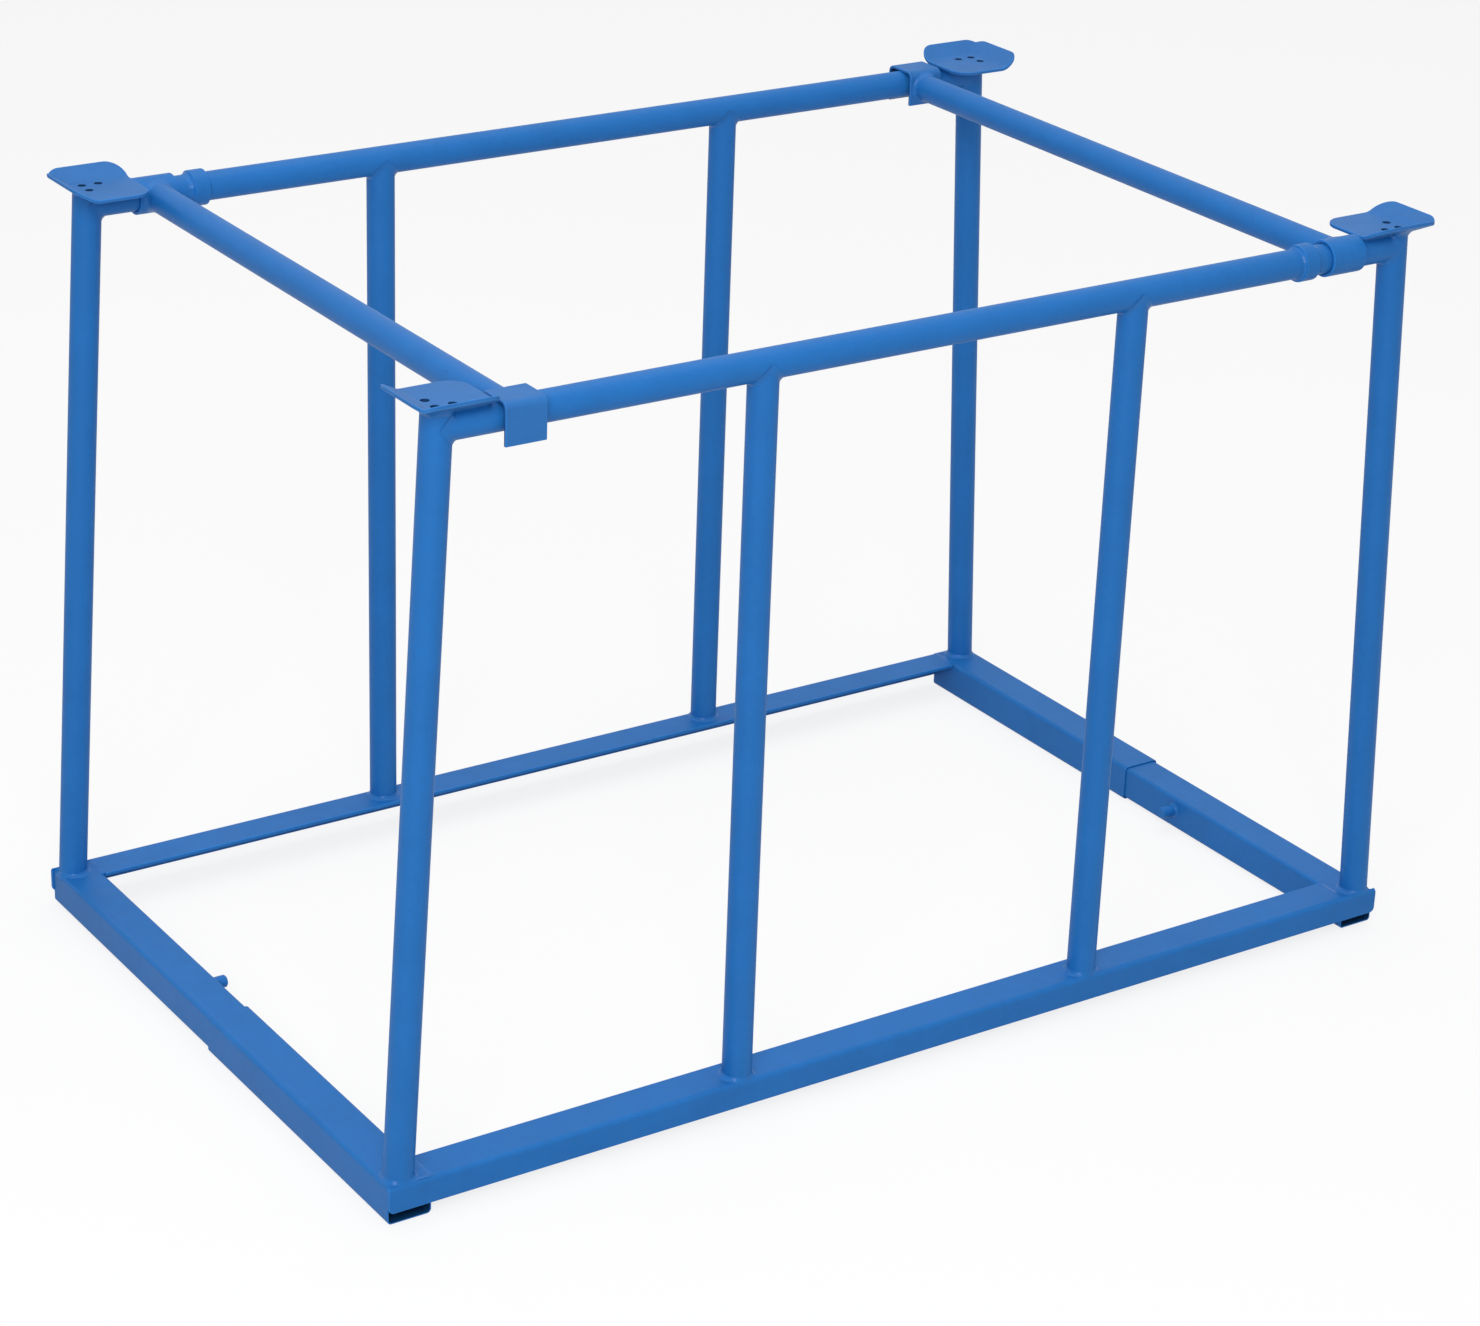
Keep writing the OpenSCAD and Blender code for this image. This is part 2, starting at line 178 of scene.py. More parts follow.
class CollarEdges(bpy.types.PropertyGroup):
    """How far sharp edges are rounded"""

    rail: FloatProperty(
        name="Rail edges", description="Rounding of the long rails' cut edges",
        default=0.7 * MM, min=0.1 * MM, max=1.5 * MM, unit="LENGTH")
    tube: FloatProperty(
        name="Thin edges", description="Rounding of the end rails' thin open ends",
        default=0.4 * MM, min=0.1 * MM, max=0.7 * MM, unit="LENGTH")
    plate: FloatProperty(
        name="Plate edges", description="Rounding of the corner plates' edges and holes",
        default=1.1 * MM, min=0.1 * MM, max=1.8 * MM, unit="LENGTH")
    crease: FloatProperty(
        name="Plate crease", description="Width of the crease where a plate's rims meet",
        default=2.2 * MM, min=0.5 * MM, max=4 * MM, unit="LENGTH")
    hook: FloatProperty(
        name="Hook edges", description="Rounding of the hooks' edges",
        default=0.7 * MM, min=0.1 * MM, max=1.4 * MM, unit="LENGTH")
    fitting: FloatProperty(
        name="Fitting edges", description="Rounding of sleeves, stop rings and pegs",
        default=0.7 * MM, min=0.1 * MM, max=1.5 * MM, unit="LENGTH")


class CollarPaint(bpy.types.PropertyGroup):
    """Colours of the powder coat on each kind of piece"""

    tube_paint: FloatVectorProperty(
        name="Tubes", description="Colour of the posts, top tubes and cross bars",
        default=(0.012, 0.152, 0.475), min=0, max=1, subtype="COLOR")
    rail_paint: FloatVectorProperty(
        name="Rails", description="Colour of the long rails and end rails",
        default=(0.012, 0.152, 0.475), min=0, max=1, subtype="COLOR")
    pressed_paint: FloatVectorProperty(
        name="Plates and hooks", description="Colour of the corner plates and hooks",
        default=(0.022, 0.152, 0.445), min=0, max=1, subtype="COLOR")
    fitting_paint: FloatVectorProperty(
        name="Fittings", description="Colour of sleeves, stop rings, pegs and welds",
        default=(0.012, 0.152, 0.475), min=0, max=1, subtype="COLOR")
    gloss: FloatProperty(
        name="Roughness", description="Roughness of the powder coat",
        default=0.5, min=0.1, max=1, subtype="FACTOR")


class CollarStage(bpy.types.PropertyGroup):
    """Floor, lamps and camera"""

    floor: FloatProperty(
        name="Floor", description="How pale the floor looks",
        default=0.96, min=0, max=1, subtype="FACTOR")
    bounce: FloatProperty(
        name="Bounce", description="Share of its light that the floor throws back at the object",
        default=0.62, min=0, max=1, subtype="FACTOR")
    lift: FloatProperty(
        name="Floor lift", description="How far the floor's look is evened out towards white",
        default=0.8, min=0, max=1, subtype="FACTOR")
    world: FloatProperty(
        name="Room light", description="Strength of the even light from all sides",
        default=0.5, min=0, max=2)
    key: FloatProperty(
        name="Main lamp", description="Power of the large lamp beside the camera",
        default=102, min=0, max=1000, unit="POWER")
    above: FloatProperty(
        name="Upper lamp", description="Power of the large lamp above",
        default=52, min=0, max=1000, unit="POWER")
    azimuth: FloatProperty(
        name="Azimuth", description="Direction of view, turned from across the collar to along it",
        default=math.radians(34.34), subtype="ANGLE")
    elevation: FloatProperty(
        name="Elevation", description="How far the camera looks down",
        default=math.radians(23.877), subtype="ANGLE")
    roll: FloatProperty(
        name="Roll", description="Tilt of the camera about its line of sight",
        default=math.radians(2.127), subtype="ANGLE")
    lens: FloatProperty(
        name="Lens", description="Focal length in millimetres on a 36 mm sensor",
        default=92.79, min=10, max=300)


# Paint


def new_group(name, inputs, outputs):
    """A shader node group with its sockets: (tree, input node, output node)."""
    tree = bpy.data.node_groups.new(name, "ShaderNodeTree")
    for label, kind, value in inputs:
        socket = tree.interface.new_socket(label, in_out="INPUT", socket_type=kind)
        if value is not None:
            socket.default_value = value
    for label, kind in outputs:
        tree.interface.new_socket(label, in_out="OUTPUT", socket_type=kind)
    return tree, tree.nodes.new("NodeGroupInput"), tree.nodes.new("NodeGroupOutput")


def put(tree, kind, links=(), **values):
    """Adds a node, sets its properties and links (input, socket) pairs to it."""
    node = tree.nodes.new(kind)
    for key, value in values.items():
        setattr(node, key, value)
    for label, source in links:
        if hasattr(source, "is_output"):
            tree.links.new(source, node.inputs[label])
        else:
            node.inputs[label].default_value = source
    return node


def maths(tree, operation, *sources):
    """A math node's result."""
    return put(tree, "ShaderNodeMath", enumerate(sources), operation=operation).outputs[0]


def ramp(tree, value, low, high, start, end):
    """A value moved from one range to another and held there."""
    node = put(tree, "ShaderNodeMapRange", [(0, value), (1, low), (2, high), (3, start), (4, end)])
    return node.outputs[0]


def cloud(tree, vector, scale, detail):
    """A noise texture's value."""
    links = [("Vector", vector), ("Scale", scale), ("Detail", detail)]
    return put(tree, "ShaderNodeTexNoise", links).outputs[0]


def build_tone():
    """Colour of powder coat: soft patches, lighter edges for thin paint and a painted highlight,
    painted shade in hollows and a few dark specks.
    """
    tree, got, out = new_group(
        "coat_tone",
        [("Vector", "NodeSocketVector", None), ("Colour", "NodeSocketColor", None),
         ("Patch scale", "NodeSocketFloat", 14), ("Patch depth", "NodeSocketFloat", 0.08),
         ("Speck scale", "NodeSocketFloat", 90), ("Speck share", "NodeSocketFloat", 0.01),
         ("Edge", "NodeSocketFloat", 0), ("Edge gain", "NodeSocketFloat", 0.25),
         ("Hollow", "NodeSocketFloat", 0), ("Hollow loss", "NodeSocketFloat", 0.7)],
        [("Colour", "NodeSocketColor")])
    vector = got.outputs["Vector"]
    finer, wide_share, contrast = 7, 0.65, 4
    heart, rim, darkening = 0.08, 0.2, 0.2
    wide = cloud(tree, vector, got.outputs["Patch scale"], detail=3)
    closer = maths(tree, "MULTIPLY", got.outputs["Patch scale"], finer)
    fine = cloud(tree, vector, closer, detail=2)
    fine = maths(tree, "MULTIPLY", fine, 1 - wide_share)
    both = maths(tree, "MULTIPLY_ADD", wide, wide_share, fine)
    swing = maths(tree, "SUBTRACT", both, CLOUD_MEAN)
    swing = maths(tree, "MULTIPLY", swing, got.outputs["Patch depth"])
    level = maths(tree, "MULTIPLY_ADD", swing, contrast, 1)
    # Edges lighter: thin paint there, and partly a painted highlight
    edge = maths(tree, "MULTIPLY", got.outputs["Edge"], got.outputs["Edge gain"])
    level = maths(tree, "MULTIPLY", level, maths(tree, "ADD", edge, 1))
    # Faces that look into a hollow darker: painted shade
    hollow = maths(tree, "MULTIPLY", got.outputs["Hollow"], got.outputs["Hollow loss"])
    level = maths(tree, "MULTIPLY", level, maths(tree, "SUBTRACT", 1, hollow))
    cells = put(tree, "ShaderNodeTexVoronoi", [
        ("Vector", vector), ("Scale", got.outputs["Speck scale"])])
    chance = put(tree, "ShaderNodeSeparateColor", [(0, cells.outputs["Color"])]).outputs[0]
    rare = maths(tree, "LESS_THAN", chance, got.outputs["Speck share"])
    near = ramp(tree, cells.outputs["Distance"], heart, rim, darkening, 0)
    speck = maths(tree, "MULTIPLY", rare, near)
    level = maths(tree, "MULTIPLY", level, maths(tree, "SUBTRACT", 1, speck))
    tinted = put(tree, "ShaderNodeVectorMath", [
        (0, got.outputs["Colour"]), ("Scale", level)], operation="SCALE")
    tree.links.new(tinted.outputs[0], out.inputs["Colour"])
    return tree


def build_gloss():
    """Roughness of powder coat, a little duller in patches."""
    tree, got, out = new_group(
        "coat_gloss",
        [("Vector", "NodeSocketVector", None), ("Scale", "NodeSocketFloat", 25),
         ("Roughness", "NodeSocketFloat", 0.4), ("Spread", "NodeSocketFloat", 0.1)],
        [("Roughness", "NodeSocketFloat")])
    patch = cloud(tree, got.outputs["Vector"], got.outputs["Scale"], detail=4)
    swing = maths(tree, "SUBTRACT", patch, CLOUD_MEAN)
    swing = maths(tree, "MULTIPLY", swing, got.outputs["Spread"])
    tree.links.new(maths(tree, "ADD", got.outputs["Roughness"], swing), out.inputs["Roughness"])
    return tree


def build_peel():
    """Height of powder coat: fine orange peel over slow waves."""
    tree, got, out = new_group(
        "coat_peel",
        [("Vector", "NodeSocketVector", None), ("Scale", "NodeSocketFloat", 420),
         ("Waves", "NodeSocketFloat", 0.5)],
        [("Height", "NodeSocketFloat")])
    slower, fine_share = 9, 0.3
    fine = cloud(tree, got.outputs["Vector"], got.outputs["Scale"], detail=2)
    slow = maths(tree, "DIVIDE", got.outputs["Scale"], slower)
    slow = cloud(tree, got.outputs["Vector"], slow, detail=2)
    fine = maths(tree, "MULTIPLY", fine, fine_share)
    height = maths(tree, "MULTIPLY_ADD", slow, got.outputs["Waves"], fine)
    tree.links.new(height, out.inputs["Height"])
    return tree


# Patch scale and depth, speck share, edge thin coat and painted highlight gain, roughness change,
# peel scale, waves, bump
FINISHES = {
    "tube_paint": (16, 0.08, 0.006, 0.2, 0.0, 420, 0.6, 0.10),
    "rail_paint": (11, 0.10, 0.008, 0.3, 0.02, 380, 0.8, 0.14),
    "pressed_paint": (22, 0.09, 0.006, 0.3, 0.04, 460, 0.5, 0.12),
    "fitting_paint": (30, 0.10, 0.004, 0.3, 0.0, 480, 0.6, 0.12),
    "weld_paint": (60, 0.12, 0.004, 0.3, -0.16, 520, 1.2, 0.3),
}


def coat_name(finish):
    """Name of the paint material of a finish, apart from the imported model's plain ones."""
    return f"{finish}_coat"


def build_paint(name, groups, colour, roughness):
    """One paint material from the shared groups."""
    tone, gloss, peel = groups
    patch, depth, speck, thin_coat_and_highlight, duller, peel_scale, waves, bump = FINISHES[name]
    material = bpy.data.materials.new(coat_name(name))
    material.use_nodes = True
    material.diffuse_color = (*colour, 1)
    tree = material.node_tree
    shader = tree.nodes["Principled BSDF"]
    vector = put(tree, "ShaderNodeTexCoord").outputs["Object"]
    # The edge mark lightens for thin paint and a painted highlight; the hollow mark darkens as
    # painted shade
    edge = put(tree, "ShaderNodeAttribute", attribute_name="edge").outputs["Fac"]
    hollow = put(tree, "ShaderNodeAttribute", attribute_name="hollow").outputs["Fac"]
    toned = put(tree, "ShaderNodeGroup", [
        ("Vector", vector), ("Colour", (*colour, 1)), ("Patch scale", patch),
        ("Patch depth", depth), ("Speck share", speck), ("Edge", edge), ("Edge gain", thin_coat_and_highlight),
        ("Hollow", hollow)], node_tree=tone)
    glossy = put(tree, "ShaderNodeGroup", [
        ("Vector", vector), ("Roughness", roughness + duller)], node_tree=gloss)
    peeled = put(tree, "ShaderNodeGroup", [
        ("Vector", vector), ("Scale", peel_scale), ("Waves", waves)], node_tree=peel)
    bumped = put(tree, "ShaderNodeBump", [
        ("Height", peeled.outputs[0]), ("Strength", bump), ("Distance", PEEL_DEPTH)])
    tree.links.new(toned.outputs[0], shader.inputs["Base Color"])
    tree.links.new(glossy.outputs[0], shader.inputs["Roughness"])
    tree.links.new(bumped.outputs[0], shader.inputs["Normal"])
    shader.inputs["Specular IOR Level"].default_value = SHINE
    return material


# Pieces


def body_of(node):
    """Name of the body that carries a node."""
    return NODES[node].parent.name.split(":")[1]


def settle(name, bm, body, slot, material, *stands_for):
    """Makes a piece of a bmesh, with its body, paint and the nodes it stands for; the slot is not
    used.
    """
    mesh = bpy.data.meshes.new(name)
    for face in bm.faces:
        face.smooth = True
    bm.to_mesh(mesh)
    mesh.materials.append(bpy.data.materials[coat_name(material)])
    piece = bpy.data.objects.new(name, mesh)
    bpy.context.scene.collection.objects.link(piece)
    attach(piece, body)
    if stands_for:
        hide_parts(*stands_for)
    return piece


def looks_inward(face, near):
    """Whether a face looks into a hollow: at the same piece, no further off than HOLLOW."""
    start = face.calc_center_median() + face.normal * SKIN
    return near.ray_cast(start, face.normal, HOLLOW)[0] is not None


def round_edges(bm, edges, width):
    """Bevels edges and gives back the new faces."""
    made = bmesh.ops.bevel(bm, geom=edges, offset=width, offset_type="OFFSET",
                           segments=EDGE_SEGMENTS, profile=0.5, affect="EDGES",
                           clamp_overlap=False, material=-1)
    return made["faces"]


def mark(faces, layer):
    """Sets a layer to 1 on faces."""
    for face in faces:
        for loop in face.loops:
            loop[layer] = 1


def soften(node, width, crease=0, merge=TINY, shortest=0):
    """Redraws a node with its sharp edges rounded and marked for thin paint and a painted
    highlight.

    Faces that look into a hollow are marked too, for painted shade, and their mouths get a smaller
    rounding. A crease is the reach of the rounding of slight bends, merge the spacing below which
    the outline's corners join first, and shortest the length below which an edge stays sharp.
    """
    bm = bmesh.new()
    bm.from_mesh(NODES[node].data)
    for step in HEAL_STEPS:
        bmesh.ops.remove_doubles(bm, verts=bm.verts, dist=step)
        bmesh.ops.dissolve_limit(bm, angle_limit=FLAT_WITHIN, verts=bm.verts, edges=bm.edges)
    for each in bm.edges:
        each.smooth = True
    if crease:
        bmesh.ops.connect_verts_concave(bm, faces=bm.faces)
        bends = [e for e in bm.edges if BEND_FROM < e.calc_face_angle(0) < SHARP_FROM]
        bends = [e for e in bends if e.calc_length() > crease]
        bmesh.ops.bevel(bm, geom=bends, offset=crease, offset_type="OFFSET",
                        segments=CREASE_SEGMENTS, profile=0.5, affect="EDGES",
                        clamp_overlap=True, material=-1)
    edge = bm.loops.layers.float.new("edge")
    hollow = bm.loops.layers.float.new("hollow")
    near = BVHTree.FromBMesh(bm)
    inside = {f for f in bm.faces if looks_inward(f, near)}
    # Painted shade goes on the faces that look into a hollow
    mark(inside, hollow)
    sharp = [e for e in bm.edges if e.calc_face_angle(0) > SHARP_FROM]
    short = [e for e in sharp if e.calc_length() < merge and not inside.intersection(e.link_faces)]
    crowded = {v for e in short for v in e.verts}
    bmesh.ops.remove_doubles(bm, verts=[v for v in bm.verts if v in crowded], dist=merge)
    sharp = [e for e in bm.edges if e.calc_face_angle(0) > SHARP_FROM]
    mouths = [e for e in sharp if inside.intersection(e.link_faces)]
    outer = [e for e in sharp if e not in mouths and e.calc_length() > shortest]
    # Rounded edges are marked for thin paint and a painted highlight
    mark(round_edges(bm, outer, width), edge)
    round_edges(bm, [e for e in mouths if e.is_valid], width * MOUTH_SHARE)
    bmesh.ops.dissolve_degenerate(bm, edges=bm.edges, dist=TINY)
    piece = settle(f"{node}_finished", bm, body_of(node), SLOT_OF[node], SLOT_OF[node], node)
    bm.free()
    piece.modifiers.new("even_shading", "WEIGHTED_NORMAL").weight = FLAT_WEIGHT


# Welds


def weld_sizes():
    """The weld sizes that the user set."""
    return bpy.context.scene.collar_welds


def lay_weld(bm, stations, closed=True, crown=None):
    """Lays a weld through stations of (point, reach on one surface, reach on the other, out).

    Each section runs from one surface to the other with a full face and a buried root. It
    swells and shrinks from bead to bead, and tapers off at open ends. The two rims stay sharp,
    so that the face isn't shaded with the root.
    """
    sizes = weld_sizes()
    full = sizes.crown if crown is None else crown
    # Each corner's share of the first reach, share of the second, and distance along the way out
    face = [(1, 0, -WELD_DIP), (0.56, 0.06, 0.37 * full), (0.25, 0.25, 0.5 * full),
            (0.06, 0.56, 0.37 * full), (0, 1, -WELD_DIP), (0, 0, -WELD_ROOT)]
    travelled = 0
    last = None
    rings = []
    rims = (set(), set())
    count = len(stations)
    for number, (point, first, second, out) in enumerate(stations):
        travelled += (point - last).length if last else 0
        last = point
        beat = math.sin(FULL_TURN * travelled / sizes.pitch)
        slow = noise.noise(point / NOISE_SIZE)
        swell = 1 + sizes.ripple * (BEAT_SHARE * beat + NOISE_SHARE * slow)
        if not closed:
            left = min(number, count - 1 - number)
            swell *= min(1, END_TAPER + END_TAPER * left)
        corners = [bm.verts.new(at) for at in face]
        edges = [bm.edges.new((corners[i - 1], corners[i])) for i in range(len(corners))]
        rims[0].add(corners[0])
        rims[1].add(corners[4])
        turned = Matrix((first * swell, second * swell, out * swell)).transposed().to_4x4()
        turned.translation = point
        bmesh.ops.transform(bm, matrix=turned, verts=corners)
        rings.append(edges)
    pairs = list(zip(rings, rings[1:]))
    if closed:
        pairs.append((rings[-1], rings[0]))
    for here, there in pairs:
        bmesh.ops.bridge_loops(bm, edges=here + there)
    for rim in rims:
        for vert in rim:
            for edge in vert.link_edges:
                edge.smooth = edge.other_vert(vert) not in rim
    if not closed:
        bmesh.ops.holes_fill(bm, edges=rings[0] + rings[-1], sides=0)
    bmesh.ops.recalc_face_normals(bm, faces=bm.faces)


def new_weld(stations, closed=True, crown=None):
    """A new mesh with one weld through the stations."""
    bm = bmesh.new()
    lay_weld(bm, stations, closed, crown)
    return bm


def settle_pair(front, rear, bm, body, other):
    """Settles a weld on one half or bar, and the same weld half a turn round on the other."""
    settle(front, bm, body, "fitting_paint", "weld_paint")
    bmesh.ops.transform(bm, matrix=HALF_TURN, verts=bm.verts)
    settle(rear, bm, other, "fitting_paint", "weld_paint")
    bm.free()


def settle_halves(name, end, bm):
    """Settles a weld of the front half, at its left or right, and its twin on the rear half."""
    twin = {"left": "right", "right": "left"}[end]
    settle_pair(f"front_{end}_{name}", f"rear_{twin}_{name}", bm, "front_frame", "rear_frame")


def angles(radius, start=0.0, end=FULL_TURN):
    """Angles along an arc at the weld's step, without the end of a full turn."""
    count = max(ROUND_FEWEST, round(abs(end - start) * radius / weld_sizes().step))
    whole = math.isclose(abs(end - start), FULL_TURN)
    last = count if whole else count - 1
    return [start + (end - start) * i / last for i in range(count)]


def between(start, end):
    """Points from one place to another at the weld's step."""
    count = max(STRAIGHT_FEWEST, round((end - start).length / weld_sizes().step))
    return [start.lerp(end, i / (count - 1)) for i in range(count)]


def along_surface(direction, normal):
    """Unit direction laid down on a surface."""
    return (direction - direction.dot(normal) * normal).normalized()


def drop(over, radius):
    """How far a rounded edge has fallen at a distance past its start, within its radius."""
    over = min(max(over, 0), radius)
    return radius - math.sqrt(radius ** 2 - over ** 2)


def rail_top(x, y):
    """Highest metal of the front half's rails under a point."""
    across = -y
    heel = RAIL_HIGH.z - drop(across - (-RAIL_LOW.y - HEEL_R), HEEL_R)
    if across > -INNER_LOW.y or INNER_LOW.x > x > OUTER_HIGH.x:
        return heel
    if x < 0:
        return OUTER_HIGH.z - drop(-x - (-OUTER_LOW.x - OUTER_R), OUTER_R)
    return INNER_HIGH.z - drop(x - (INNER_HIGH.x - INNER_R), INNER_R)


def kept_on_rail(point):
    """The point moved up or down to the front rails' top surface, and kept off its edge."""
    x = min(max(point.x, RAIL_LOW.x + EDGE_KEPT), RAIL_HIGH.x - EDGE_KEPT)
    y = max(point.y, RAIL_LOW.y)
    return Vector((x, y, rail_top(x, y)))


class Post:
    """Axis of a post of the front half: a point at its foot and the direction up it."""

    def __init__(self, node):
        low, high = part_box(node)
        left = low.x + high.x < 0
        lean = (high.x - low.x) - 2 * TUBE_R
        self.foot_x = low.x + TUBE_R if left else high.x - TUBE_R
        self.lean = lean / (high.z - low.z) * (1 if left else -1)
        self.foot_z = low.z
        self.up = Vector((self.lean, 0, 1)).normalized()
        self.inward = 1 if left else -1

    def centre(self, z):
        """The axis at a height."""
        return Vector((self.foot_x + self.lean * (z - self.foot_z), POST_Y, z))


def level_weld(leg, out, level):
    """A weld's reach and the way out of it, for how level its two surfaces run (0 to 1)."""
    level **= LEVEL_POWER
    return leg * (1 + LEVEL_GAIN * level), out.normalized() * (1 - LEVEL_LOSS * level)


def weld_foot(post):
    """The weld round a post's foot, on the rail that carries it."""
    leg = weld_sizes().leg
    stations = []
    for a in angles(TUBE_R):
        radial = Vector((math.cos(a), math.sin(a), 0))
        point = post.centre(RAIL_HIGH.z) + radial * TUBE_R
        point.z = rail_top(point.x, max(point.y, RAIL_LOW.y))
        rest = kept_on_rail(point + radial * leg)
        stations.append((point, post.up * leg, rest - point, (radial + Z_AXIS).normalized()))
    return new_weld(stations)


def weld_saddle(post):
    """The weld between an intermediate post's coped top and the top tube."""
    stations = []
    for a in angles(TUBE_R):
        radial = Vector((math.cos(a), math.sin(a), 0))
        point = post.centre(AXIS_Z) + radial * TUBE_R
        point.z -= TUBE_R * abs(math.cos(a))
        normal = Vector((0, math.sin(a), -abs(math.cos(a))))
        away = along_surface(Vector((math.cos(a), 0, abs(math.sin(a)))), normal)
        reach, out = level_weld(weld_sizes().leg, radial + normal, abs(math.sin(a)))
        stations.append((point, -Z_AXIS * reach, away * reach, out))
    return new_weld(stations)


def weld_head(post):
    """The weld between the top tube's coped end and the corner post that it meets."""
    gap = math.radians(38)
    inward = Vector((post.inward, 0, 0))
    stations = []
    for b in angles(TUBE_R, RIGHT_ANGLE + gap, RIGHT_ANGLE + FULL_TURN - gap):
        side, rise = math.cos(b), math.sin(b)
        point = post.centre(AXIS_Z + TUBE_R * rise)
        point.y += TUBE_R * side
        point += inward * TUBE_R * abs(rise)
        on_tube = Vector((0, side, rise))
        on_post = Vector((post.inward * abs(rise), side, 0))
        away = along_surface(Vector((-post.inward * abs(side), 0, rise)), on_post)
        reach, out = level_weld(weld_sizes().leg, on_tube + on_post, abs(side))
        stations.append((point, inward * reach, away * reach, out))
    return new_weld(stations, closed=False)


def plate_under(post, node, point):
    """A point moved to the underside of the plate on a post."""
    low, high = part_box(node)
    origin_x = low.x + PLATE_OUT if post.inward > 0 else high.x - PLATE_OUT
    origin_y = low.y + PLATE_OUT
    outward = max((point.x - origin_x) * -post.inward, origin_y - point.y) - RIM_START
    bend = RIM_R * math.sin(RIM_ANGLE)
    rise = drop(min(outward, bend), RIM_R) + max(outward - bend, 0) * math.tan(RIM_ANGLE)
    return Vector((point.x, point.y, PLATE_Z + rise))


def weld_plate(post, node):
    """The welds under a corner plate: round the post's head and along both flanks of the tube."""
    wider, set_in, droop = 1.2, 0.7, 0.2
    leg = weld_sizes().leg * wider
    gap = math.radians(52)
    seam, flank, buried, short_by = 5.5 * MM, 9 * MM, 0.7 * MM, 2 * MM
    start = 0 if post.inward > 0 else math.pi
    bm = bmesh.new()
    stations = []
    for a in angles(TUBE_R, start + gap, start + FULL_TURN - gap):
        radial = Vector((math.cos(a), math.sin(a), 0))
        point = post.centre(PLATE_Z) + radial * TUBE_R
        point = plate_under(post, node, point)
        rest = plate_under(post, node, point + radial * leg)
        stations.append((point, -post.up * leg, rest - point, (radial - Z_AXIS).normalized()))
    lay_weld(bm, stations, closed=False)
    low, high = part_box(node)
    inner_x = high.x if post.inward > 0 else low.x
    outer_x = post.centre(PLATE_Z).x + post.inward * TUBE_R * set_in
    for side in (-1, 1):
        stations = []
        aside = Vector((0, side * (flank - seam), 0))
        ends = [Vector((x, POST_Y + side * seam, PLATE_Z - buried))
                for x in (outer_x, inner_x - post.inward * short_by)]
        for point in between(*ends):
            down = Vector((0, aside.y, AXIS_Z - point.z))
            down.z += math.sqrt(TUBE_R ** 2 - flank ** 2)
            rest = plate_under(post, node, point + aside)
            stations.append((point, down, rest - point, Vector((0, side, -droop))))
        lay_weld(bm, stations, closed=False, crown=0.6 * MM)
    return bm


def weld_flange(gap_x, top_x, top_z):
    """The weld that fills the groove between the long rail's flange end and an end rail."""
    flange_cover, rail_cover, depth = 1.4 * MM, 0.4 * MM, 0.7 * MM
    front_gap, rear_gap = 2 * MM, 1 * MM
    outward = 1 if gap_x > 0 else -1
    on_flange = Vector((gap_x - outward * flange_cover, 0, RAIL_HIGH.z))
    on_rail = Vector((top_x + outward * rail_cover, 0, top_z))
    root = (on_flange + on_rail) / 2 - Z_AXIS * depth
    stations = []
    for along in between(Y_AXIS * (RAIL_LOW.y + front_gap), Y_AXIS * (RAIL_HIGH.y - rear_gap)):
        fall = Z_AXIS * drop(RAIL_LOW.y + HEEL_R - along.y, HEEL_R)
        stations.append((root + along - fall, on_flange - root, on_rail - root, Z_AXIS))
    return new_weld(stations, closed=False, crown=1.1 * MM)


def weld_heel(start_x, end_x, top, rise):
    """The weld over an end rail's end, from its top to the inside of the long rail's bend.

    It climbs by the rise where the end rail's top lies lower, or else runs level over the bend.
    """
    reach = weld_sizes().flush
    over_share, before_bend, dip, lean = 0.8, 1.5 * MM, 0.2 * MM, 0.3
    second, out = Z_AXIS * rise, Z_AXIS + Y_AXIS
    if not rise:
        over = reach * over_share
        second = Vector((0, -over, -drop(over - before_bend, HEEL_R) - dip))
        out = Z_AXIS - Y_AXIS * lean
    stations = []
    for point in between(Vector((start_x, OUTER_LOW.y, top)), Vector((end_x, OUTER_LOW.y, top))):
        stations.append((point, Y_AXIS * reach, second, out.normalized()))
    return new_weld(stations, closed=False, crown=0.7 * MM)


def weld_ring_round(centre, axis, radius, reach, rise):
    """A weld round a shaft where it meets a flat face, with its own reach on each."""
    across = axis.orthogonal().normalized()
    upright = axis.cross(across)
    stations = []
    for a in angles(radius):
        radial = across * math.cos(a) + upright * math.sin(a)
        stations.append((centre + radial * radius, axis * reach, radial * rise,
                         (axis + radial).normalized()))
    return new_weld(stations)


def weld_sleeve():
    """The weld between a cross bar's coped end and its pivot sleeve."""
    leg = weld_sizes().leg
    stations = []
    for b in angles(TUBE_R):
        side, rise = math.cos(b), math.sin(b)
        turn = math.asin(TUBE_R * rise / SLEEVE_R)
        point = Vector((BAR_X + TUBE_R * side, POST_Y + SLEEVE_R * math.cos(turn),
                        AXIS_Z + TUBE_R * rise))
        on_bar = Vector((side, 0, rise))
        on_sleeve = Vector((0, math.cos(turn), math.sin(turn)))
        round_it = Vector((0, -math.sin(turn), math.cos(turn)))
        away = (X_AXIS * side + round_it * rise).normalized()
        stations.append((point, Y_AXIS * leg, away * leg, (on_bar + on_sleeve).normalized()))
    return new_weld(stations)


